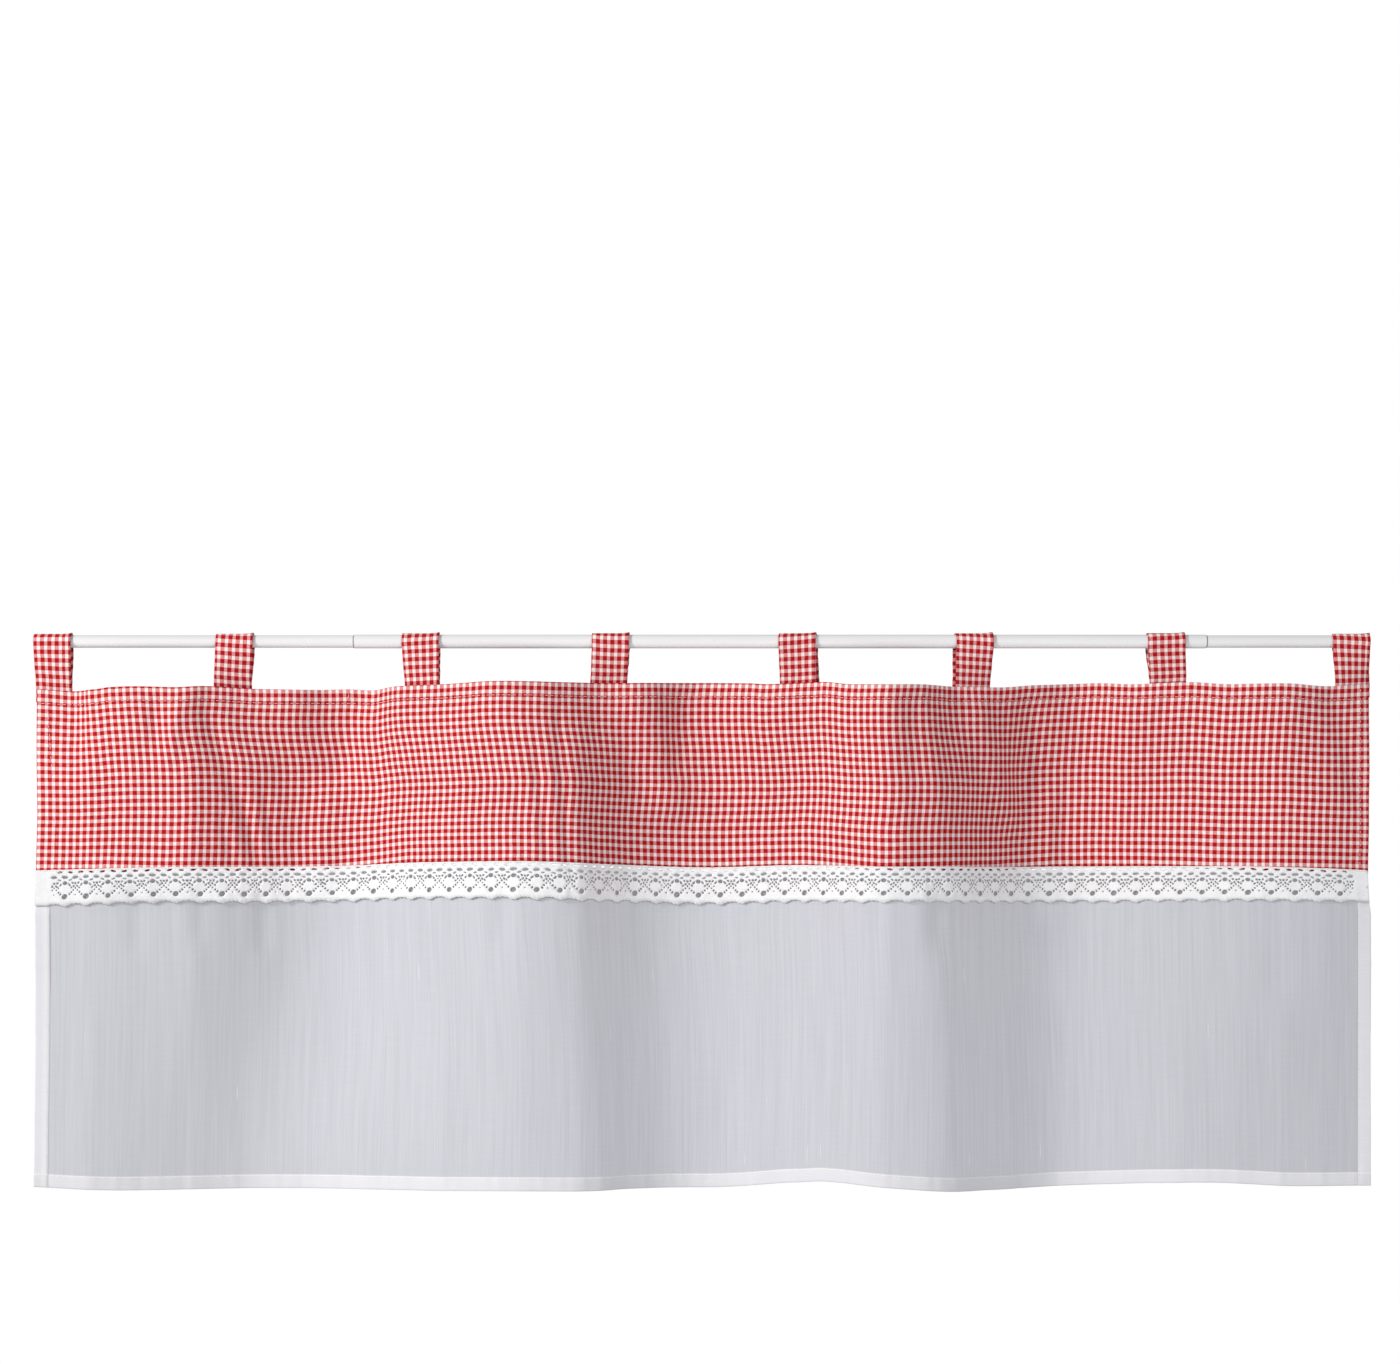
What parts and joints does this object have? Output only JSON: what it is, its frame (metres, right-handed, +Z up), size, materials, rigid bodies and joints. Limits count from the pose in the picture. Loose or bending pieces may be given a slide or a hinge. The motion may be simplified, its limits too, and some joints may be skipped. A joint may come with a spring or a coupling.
{
  "type": "cafe curtain on telescopic rod",
  "caption": "Short tab-top cafe curtain: a gingham band, lace edging and a sheer panel, hanging in soft folds from a slim telescopic rod held between two walls.",
  "frame": {"origin": "centre of the rod's left end face, seen from the room", "axes": "+X along the rod to its right end, +Z up, and the side that faces the room is -Y"},
  "size_m": [1.08, 0.0863, 0.4514],
  "materials": {
    "gingham": "woven cotton, red and white check of about 6 mm",
    "lace": "white cotton lace edging",
    "voile": "sheer white voile with fine slubs",
    "rod_white": "white enamel, satin"
  },
  "bodies": {
    "root": {"band": "gingham", "tab_1": "gingham", "tab_2": "gingham", "tab_3": "gingham", "tab_4": "gingham", "tab_5": "gingham", "tab_6": "gingham", "tab_7": "gingham", "tab_8": "gingham", "lace_trim": "lace", "voile_panel": "voile", "rod_middle": "rod_white", "rod_left": "rod_white", "rod_right": "rod_white"}
  },
  "joints": []
}
